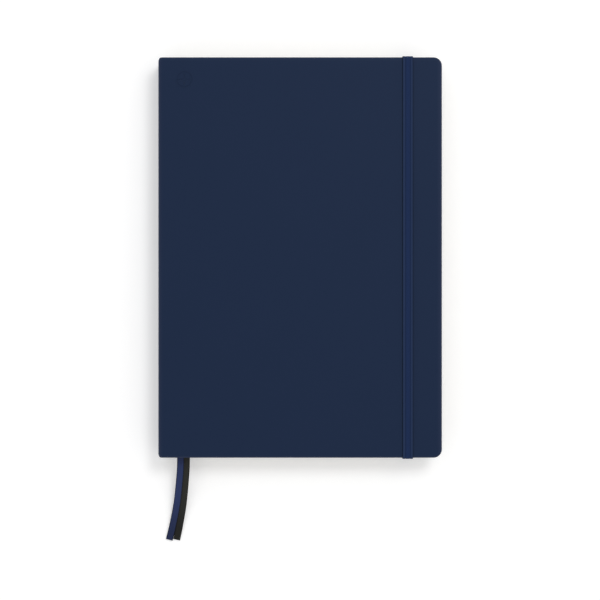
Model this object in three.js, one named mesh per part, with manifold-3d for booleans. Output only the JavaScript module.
// A pilot logbook: an A5 sewn book in a soft-grained hard case, closed by an elastic band,
// with two ribbon markers. Millimetres, +Z up through the closed book, +X towards the
// fore-edge, +Y towards the head. The origin is the middle of the back cover's underside.
import * as THREE from 'three';
import { mergeVertices } from 'three/addons/utils/BufferGeometryUtils.js';
import Module from 'manifold-3d';

const wasm = await Module();
wasm.setup();

// ---- driving dimensions ----
// leaves
const pageWidth = 146.6;
const pageHeight = 210;
const pageCornerRadius = 4;
const sectionThickness = 0.86; // eight folded leaves
const sectionsPerHalf = 6;
const sectionGap = 0.03;
const flyleafThickness = 0.15;
const flyleafGap = 0.1;
// covers
const skinThickness = 0.5;
const turnInThickness = 0.3; // the skin is pared thin where it turns in
const turnInWidth = 11;
const boardThickness = 1.8;
const spineBoardThickness = 0.5;
const pastedownThickness = 0.15;
const pastedownMargin = 3.5;
const layerFit = 0.05; // between pieces that are glued together
const foreEdgeSquare = 2.8; // how far the cover reaches past the leaves
const headSquare = 2.75;
const coverCornerRadius = 4.5;
const spineCornerRadius = 2.5; // rounding between the spine and a cover
const jointWidth = 7; // from the spine's outside to where a board's edge begins
const jointGap = 0.3; // between skins that fold against each other
// back of the book block
const liningThickness = 0.25;
const liningMargin = 6;
const threadDiameter = 0.35;
const threadWaves = 5;
const spineHollow = 2.6; // from the spine's outside to the lining
const headbandRadius = 0.8;
const headbandTongue = 0.5;
// ribbon markers
const ribbonWidth = 3.8;
const ribbonThickness = 0.22;
const ribbonGap = 0.6; // the room that the two ribbons take between the leaves
const ribbonHeadInset = 4; // from the fold of the leaves, at the head
const ribbonTailInset = 11.5; // from the spine's outside to the navy ribbon's middle
const ribbonStep = 3.11; // from the navy ribbon's middle to the black one's
const ribbonSpread = 0.9; // how much further apart their ends are
const ribbonRest = 0.04; // under the lower ribbon where it lies
const ribbonStack = 0.3; // from the black ribbon's underside to the navy one's
// The navy ribbon's free route: how far past the cover's tail edge, how far towards the
// spine, and the share of its height at the leaves that is left.
const ribbonRoute = [
  [-2.75, 0, 1], [0, 0, 1], [3, 0.04, 0.985], [6, 0.15, 0.95], [9, 0.35, 0.9],
  [12, 0.63, 0.83], [15, 0.95, 0.75], [18, 1.3, 0.66], [21, 1.67, 0.56], [24, 2.07, 0.46],
  [27.5, 2.65, 0.35], [31, 3.3, 0.25], [34.5, 4.03, 0.165], [38, 4.8, 0.095],
  [41.5, 5.6, 0.045], [44.5, 6.35, 0.015], [46.8, 6.95, 0],
];
// elastic closure
const bandWidth = 5.6;
const bandThickness = 0.6;
const bandInset = 18.4; // from the fore-edge to the band's middle
const bandFit = 0.05;
const bandStub = 1.5; // upright length of each corner piece of the band
const slotInset = 14; // from the cover's edge to the slot that the band goes in by
const tabLength = 10;
const tabThickness = 0.3;
// blind mark pressed in the front cover
const markRadius = 4.3;
const markLine = 0.6;
const markDepth = 0.15;
const markStarWaist = 0.28; // the star's inner radius as a share of its outer one
const markStarPoints = 4;
const markSpineInset = 14.15;
const markHeadInset = 12.15;
// roundness
const cornerSteps = 8;
const foldSteps = 6;
const cutReach = 1; // how far a cutting tool runs past the face that it cuts

// ---- worked out ----
const coverThickness = skinThickness + boardThickness + turnInThickness
  + pastedownThickness + 3 * layerFit;
const halfBlock = flyleafGap + flyleafThickness + layerFit
  + sectionsPerHalf * sectionThickness + ribbonGap / 2;
const bookThickness = 2 * (coverThickness + halfBlock);
const middle = bookThickness / 2;
const backLayers = liningThickness + threadDiameter + 2 * layerFit;
const coverWidth = spineHollow + backLayers + pageWidth + foreEdgeSquare;
const coverHeight = pageHeight + 2 * headSquare;
const spineX = -coverWidth / 2;
const foreEdgeX = coverWidth / 2;
const headY = coverHeight / 2;
const pageHeadY = pageHeight / 2;
const liningX = spineX + spineHollow;
const foldX = liningX + backLayers;
const coverStart = spineX + jointWidth + jointGap;
const boardLow = skinThickness + layerFit;
const boardHigh = boardLow + boardThickness;
const turnInLow = boardHigh + layerFit;
const turnInHigh = turnInLow + turnInThickness;
const pastedownLow = turnInHigh + layerFit;
const bandX = foreEdgeX - bandInset;
const slotY = headY - slotInset;
const bandLow = bandFit / 2;
const bandHigh = bandLow + bandThickness;
const bandOuterY = headY + bandFit + bandThickness;
const bandTopLow = bookThickness + bandFit;
const bandTopHigh = bandTopLow + bandThickness;

// ---- materials ----
const material = (color, roughness) =>
  new THREE.MeshStandardMaterial({ color, roughness, metalness: 0 });
const coverMaterial = material(0x212c42, 0.6);
const boardMaterial = material(0x8d8a82, 0.9);
const paperMaterial = material(0xf1ebda, 0.85);
const endpaperMaterial = material(0xe6e0cf, 0.85);
const liningMaterial = material(0xdcd9cd, 0.95);
const threadMaterial = material(0xf4f1e6, 0.7);
const headbandMaterial = material(0x2a3656, 0.7);
const navyRibbonMaterial = material(0x2e3a60, 0.4);
const blackRibbonMaterial = material(0x2a2a29, 0.4);
const elasticMaterial = material(0x263250, 0.75);

// ---- geometry helpers ----
// How shape coordinates and depth map to X, Y, Z when a section is drawn across each axis.
const across = {
  x: new THREE.Matrix4().makeBasis(
    new THREE.Vector3(0, 1, 0), new THREE.Vector3(0, 0, 1), new THREE.Vector3(1, 0, 0)),
  y: new THREE.Matrix4().makeBasis(
    new THREE.Vector3(0, 0, 1), new THREE.Vector3(1, 0, 0), new THREE.Vector3(0, 1, 0)),
  z: new THREE.Matrix4(),
};

// A straight prism: an outline of (y, z), (z, x) or (x, y) points, run along x, y or z.
function prism(outline, axis, from, to) {
  const shape = outline instanceof THREE.Shape
    ? outline
    : new THREE.Shape(outline.map(([a, b]) => new THREE.Vector2(a, b)));
  const geometry = new THREE.ExtrudeGeometry(shape, {
    depth: Math.abs(to - from), bevelEnabled: false, curveSegments: cornerSteps,
  });
  geometry.translate(0, 0, Math.min(from, to));
  return geometry.applyMatrix4(across[axis]);
}

function box([x0, x1], [y0, y1], [z0, z1]) {
  return prism([[x0, y0], [x1, y0], [x1, y1], [x0, y1]], 'z', z0, z1);
}

function toSolid(geometry) {
  const bare = geometry.clone();
  bare.deleteAttribute('normal');
  bare.deleteAttribute('uv');
  const merged = mergeVertices(bare, 1e-4);
  return new wasm.Manifold(new wasm.Mesh({
    numProp: 3,
    vertProperties: new Float32Array(merged.attributes.position.array),
    triVerts: new Uint32Array(merged.index.array),
  }));
}

function toGeometry(solid) {
  const mesh = solid.getMesh();
  const geometry = new THREE.BufferGeometry();
  geometry.setAttribute('position', new THREE.BufferAttribute(mesh.vertProperties, 3));
  geometry.setIndex(new THREE.BufferAttribute(mesh.triVerts, 1));
  geometry.computeVertexNormals();
  return geometry;
}

function cut(body, ...tools) {
  return toGeometry(tools.reduce((left, tool) => left.subtract(toSolid(tool)), toSolid(body)));
}

// Outline of a cover, board or leaf: square at the spine, rounded at the fore-edge.
function leafOutline(x0, x1, halfHeight, radius) {
  const shape = new THREE.Shape();
  shape.moveTo(x0, -halfHeight);
  shape.lineTo(x1 - radius, -halfHeight);
  shape.absarc(x1 - radius, radius - halfHeight, radius, -Math.PI / 2, 0, false);
  shape.lineTo(x1, halfHeight - radius);
  shape.absarc(x1 - radius, halfHeight - radius, radius, 0, Math.PI / 2, false);
  shape.lineTo(x0, halfHeight);
  return shape;
}

const group = new THREE.Group();

function add(name, geometry, finish) {
  const mesh = new THREE.Mesh(geometry, finish);
  mesh.name = name;
  group.add(mesh);
}

// Heights are counted from the nearer cover's outside, so the front half mirrors the rear.
const rearSide = { name: 'rear', cover: 'back', level: (height) => height };
const frontSide = { name: 'front', cover: 'front', level: (height) => bookThickness - height };

// ---- covers ----
// The channel that the band's end lies in, from the slot out to the cover's edge, and the
// slot itself. end is +1 at the head and -1 at the tail.
function bandCuts(end) {
  const halfWidth = bandWidth / 2 + bandFit;
  const span = [bandX - halfWidth, bandX + halfWidth];
  const channel = [end * (slotY - bandThickness - bandFit), end * (headY + cutReach)];
  const slot = [channel[0], end * (slotY + bandFit)];
  const sorted = (pair) => pair.slice().sort((a, b) => a - b);
  return [
    box(span, sorted(channel), [-cutReach, bandHigh + bandFit]),
    box(span, sorted(slot), [-cutReach, coverThickness - pastedownThickness - layerFit]),
  ];
}

// A star with long points, as flat points for a shape.
function starPoints(centerX, centerY, outer) {
  const points = [];
  for (let i = 0; i < 2 * markStarPoints; i += 1) {
    const radius = i % 2 === 0 ? outer : outer * markStarWaist;
    const angle = (i * Math.PI) / markStarPoints;
    points.push([centerX + radius * Math.cos(angle), centerY + radius * Math.sin(angle)]);
  }
  return points;
}

// Cutting tools for the blind mark: a thin ring with a compass star inside it.
function markCuts() {
  const centerX = spineX + markSpineInset;
  const centerY = headY - markHeadInset;
  const floor = bookThickness - markDepth;
  const ring = new THREE.Shape();
  ring.absarc(centerX, centerY, markRadius, 0, 2 * Math.PI, false);
  const inside = new THREE.Path();
  inside.absarc(centerX, centerY, markRadius - markLine, 0, 2 * Math.PI, true);
  ring.holes.push(inside);
  const star = starPoints(centerX, centerY, markRadius - 2 * markLine);
  return [
    prism(ring, 'z', floor, bookThickness + cutReach),
    prism(star, 'z', floor, bookThickness + cutReach),
  ];
}

// The skin goes round three edges of the board and turns in over its inner face.
function coverSkin(side, cuts) {
  const { level } = side;
  const outside = prism(
    leafOutline(coverStart, foreEdgeX, headY, coverCornerRadius), 'z', level(0), level(turnInHigh));
  const inset = skinThickness;
  const cavity = prism(
    leafOutline(coverStart - cutReach, foreEdgeX - inset, headY - inset, coverCornerRadius - inset),
    'z', level(skinThickness), level(turnInLow));
  const windowOutline = leafOutline(
    coverStart - cutReach, foreEdgeX - turnInWidth, headY - turnInWidth, coverCornerRadius);
  const window = prism(windowOutline, 'z', level(boardHigh), level(turnInHigh + cutReach));
  return cut(outside, cavity, window, ...cuts);
}

function coverBoard(side, cuts) {
  const inset = skinThickness + layerFit;
  const outline = leafOutline(
    coverStart, foreEdgeX - inset, headY - inset, coverCornerRadius - inset);
  const board = prism(outline, 'z', side.level(boardLow), side.level(boardHigh));
  return cuts.length ? cut(board, ...cuts) : board;
}

function pastedown(side) {
  const outline = leafOutline(
    coverStart, foreEdgeX - pastedownMargin, headY - pastedownMargin, pageCornerRadius);
  return prism(outline, 'z', side.level(pastedownLow), side.level(coverThickness));
}

// The strip of bare skin that the case folds by: round from the spine, then flat to the board.
function hingeSkin(side) {
  const outer = [[0, spineX + jointWidth]];
  const inner = [[skinThickness, spineX + jointWidth]];
  const center = spineX + spineCornerRadius;
  const innerRadius = spineCornerRadius - skinThickness;
  for (let i = 0; i <= cornerSteps; i += 1) {
    const angle = (Math.PI / 2) * (i / cornerSteps);
    const sine = Math.sin(angle);
    const cosine = Math.cos(angle);
    outer.push([spineCornerRadius * (1 - cosine), center - spineCornerRadius * sine]);
    inner.push([spineCornerRadius - innerRadius * cosine, center - innerRadius * sine]);
  }
  const outline = [...outer, ...inner.reverse()].map(([height, x]) => [side.level(height), x]);
  return prism(outline, 'y', -headY, headY);
}

function cover(side, skinCuts, boardCuts) {
  add(`${side.cover}_cover_skin`, coverSkin(side, skinCuts), coverMaterial);
  add(`${side.cover}_board`, coverBoard(side, boardCuts), boardMaterial);
  add(`${side.cover}_pastedown`, pastedown(side), endpaperMaterial);
  add(`${side.cover}_hinge_skin`, hingeSkin(side), coverMaterial);
}

const anchorCuts = [...bandCuts(1), ...bandCuts(-1)];
cover(rearSide, anchorCuts, anchorCuts);
cover(frontSide, markCuts(), []);

// ---- spine ----
function spine() {
  const low = spineCornerRadius + jointGap;
  const high = bookThickness - low;
  const boardX = spineX + skinThickness + layerFit;
  const boardBack = boardX + spineBoardThickness;
  const lipX = boardBack + layerFit;
  const lipBack = lipX + turnInThickness;
  const inside = headY - skinThickness;
  const lipEnd = headY - turnInWidth;
  const span = [low - cutReach, high + cutReach];
  const skin = cut(
    box([spineX, lipBack], [-headY, headY], [low, high]),
    box([spineX + skinThickness, lipX], [-inside, inside], span),
    box([boardBack, lipBack + cutReach], [-lipEnd, lipEnd], span),
  );
  add('spine_skin', skin, coverMaterial);
  const boardEnd = inside - layerFit;
  add('spine_board', box([boardX, boardBack], [-boardEnd, boardEnd], [low, high]), boardMaterial);
}
spine();

// ---- book block ----
// One gathering of folded leaves: rounded at the fold, rounded corners at the fore-edge.
function section(low) {
  const thickness = sectionThickness - sectionGap;
  const radius = thickness / 2;
  const outline = leafOutline(foldX, foldX + pageWidth, pageHeadY, pageCornerRadius);
  const profile = new THREE.Shape();
  const top = low + thickness;
  const beyond = foldX + pageWidth + cutReach;
  profile.moveTo(low, beyond);
  for (let i = 0; i <= foldSteps; i += 1) {
    const angle = Math.PI * (i / foldSteps);
    profile.lineTo(low + radius - radius * Math.cos(angle), foldX + radius - radius * Math.sin(angle));
  }
  profile.lineTo(top, beyond);
  const plan = toSolid(prism(outline, 'z', low - cutReach, top + cutReach));
  const fold = toSolid(prism(profile, 'y', -pageHeadY - cutReach, pageHeadY + cutReach));
  return toGeometry(plan.intersect(fold));
}

// Sewing along the back of half the block, rising and falling across its gatherings.
function sewingThread(low, high) {
  const x = liningX + liningThickness + layerFit + threadDiameter / 2;
  const centerZ = (low + high) / 2;
  const rise = (high - low - threadDiameter) / 2 - layerFit;
  const reach = pageHeadY - 2 * liningMargin;
  const steepness = 2.5;
  const stepsPerWave = 14;
  class Wave extends THREE.Curve {
    getPoint(t, target = new THREE.Vector3()) {
      const swing = Math.tanh(steepness * Math.sin(2 * Math.PI * threadWaves * t));
      return target.set(x, reach * (2 * t - 1), centerZ + rise * swing);
    }
  }
  const ring = new THREE.Shape();
  ring.absarc(0, 0, threadDiameter / 2, 0, 2 * Math.PI, false);
  return new THREE.ExtrudeGeometry(ring, {
    extrudePath: new Wave(), steps: threadWaves * stepsPerWave, curveSegments: 6,
  });
}

// A bead at the end of the folds, on a tongue that is glued down their back.
function headband(end, low, high) {
  const back = liningX + layerFit;
  const beadX = back + headbandRadius;
  const foot = pageHeadY - liningMargin + layerFit;
  const beadLow = pageHeadY + layerFit;
  const shape = new THREE.Shape();
  shape.moveTo(back, end * foot);
  shape.lineTo(back, end * (beadLow + headbandRadius));
  const beadTurn = end > 0 ? [Math.PI, -Math.PI / 2, true] : [Math.PI, Math.PI / 2, false];
  shape.absarc(beadX, end * (beadLow + headbandRadius), headbandRadius, ...beadTurn);
  shape.lineTo(back + headbandTongue, end * beadLow);
  shape.lineTo(back + headbandTongue, end * foot);
  return prism(shape, 'z', low, high);
}

function halfBlockNodes(side, firstNumber) {
  const { level } = side;
  const flyleafLow = coverThickness + flyleafGap;
  const leavesLow = flyleafLow + flyleafThickness + layerFit;
  const leavesHigh = leavesLow + sectionsPerHalf * sectionThickness - sectionGap;
  const outline = leafOutline(foldX, foldX + pageWidth, pageHeadY, pageCornerRadius);
  const flyleaf = prism(outline, 'z', level(flyleafLow), level(flyleafLow + flyleafThickness));
  add(`${side.cover}_flyleaf`, flyleaf, endpaperMaterial);
  const low = Math.min(level(leavesLow), level(leavesHigh));
  const high = Math.max(level(leavesLow), level(leavesHigh));
  for (let i = 0; i < sectionsPerHalf; i += 1) {
    const name = `section_${String(firstNumber + i).padStart(2, '0')}`;
    add(name, section(low + i * sectionThickness), paperMaterial);
  }
  const liningEnd = pageHeadY - liningMargin;
  const lining = box([liningX, liningX + liningThickness], [-liningEnd, liningEnd], [low, high]);
  add(`${side.name}_spine_lining`, lining, liningMaterial);
  add(`${side.name}_sewing_thread`, sewingThread(low, high), threadMaterial);
  add(`${side.name}_headband`, headband(1, low, high), headbandMaterial);
  add(`${side.name}_tailband`, headband(-1, low, high), headbandMaterial);
}
halfBlockNodes(rearSide, 1);
halfBlockNodes(frontSide, sectionsPerHalf + 1);

// ---- ribbon markers ----
function ribbon(name, isNavy, finish) {
  const half = ribbonWidth / 2;
  const leavesZ = middle + (isNavy ? layerFit : layerFit - ribbonStack);
  const restZ = ribbonRest + (isNavy ? ribbonStack : 0);
  const reach = ribbonRoute.at(-1)[0];
  const exitX = spineX + ribbonTailInset + (isNavy ? 0 : ribbonStep);
  const headX = foldX + ribbonHeadInset + half + (isNavy ? 0 : ribbonStep);
  const insideEnd = -pageHeadY + jointGap;
  const inside = prism([
    [headX - half, pageHeadY], [exitX - half, insideEnd],
    [exitX + half, insideEnd], [headX + half, pageHeadY],
  ], 'z', leavesZ, leavesZ + ribbonThickness);
  add(`${name}_inside`, inside, finish);

  // The tail is drawn from the side, run across its width, and then swung along its route.
  const lower = ribbonRoute.map(([past, , height]) =>
    [-headY - past, restZ + (leavesZ - restZ) * height]);
  const upper = lower.map(([y, z]) => [y, z + ribbonThickness]).reverse();
  const tail = prism([...lower, ...upper], 'x', -half, half);
  const position = tail.attributes.position;
  for (let i = 0; i < position.count; i += 1) {
    const past = -headY - position.getY(i);
    const stop = ribbonRoute.reduce((near, point) =>
      (Math.abs(point[0] - past) < Math.abs(near[0] - past) ? point : near));
    const apart = isNavy ? 0 : ribbonSpread * Math.max(past / reach, 0) ** 2;
    position.setX(i, position.getX(i) + exitX + apart - stop[1]);
  }
  tail.computeVertexNormals();
  add(`${name}_tail`, tail, finish);
}
ribbon('navy_ribbon', true, navyRibbonMaterial);
ribbon('black_ribbon', false, blackRibbonMaterial);

// ---- elastic closure ----
// The band's end: up from the edge of the back cover, along its channel, through the slot,
// and glued flat inside the cover.
function bandAnchor(end) {
  const inner = bandOuterY - bandThickness;
  const tabHigh = pastedownLow - layerFit;
  const tabLow = tabHigh - tabThickness;
  const outline = [
    [slotY - bandThickness, bandLow], [bandOuterY, bandLow],
    [bandOuterY, bandStub], [inner, bandStub],
    [inner, bandHigh], [slotY, bandHigh],
    [slotY, tabHigh], [slotY - tabLength, tabHigh],
    [slotY - tabLength, tabLow], [slotY - bandThickness, tabLow],
  ].map(([y, z]) => [end * y, z]);
  return prism(outline, 'x', bandX - bandWidth / 2, bandX + bandWidth / 2);
}

// The upright stretch at the head or tail, between the band's two corners.
function bandLeg(end) {
  const outer = end * bandOuterY;
  const inner = end * (bandOuterY - bandThickness);
  const span = [bandX - bandWidth / 2, bandX + bandWidth / 2];
  const low = bandStub + layerFit;
  const high = bandTopLow - bandStub - layerFit;
  return box(span, [Math.min(outer, inner), Math.max(outer, inner)], [low, high]);
}

// The long run over the front cover, with both of its corners.
function bandFront() {
  const inner = bandOuterY - bandThickness;
  const foot = bandTopLow - bandStub;
  return prism([
    [-bandOuterY, foot], [-inner, foot], [-inner, bandTopLow], [inner, bandTopLow],
    [inner, foot], [bandOuterY, foot], [bandOuterY, bandTopHigh], [-bandOuterY, bandTopHigh],
  ], 'x', bandX - bandWidth / 2, bandX + bandWidth / 2);
}

add('closure_band_front', bandFront(), elasticMaterial);
for (const [place, end] of [['head', 1], ['tail', -1]]) {
  add(`closure_band_${place}_leg`, bandLeg(end), elasticMaterial);
  add(`closure_band_${place}_anchor`, bandAnchor(end), elasticMaterial);
}

export default group;
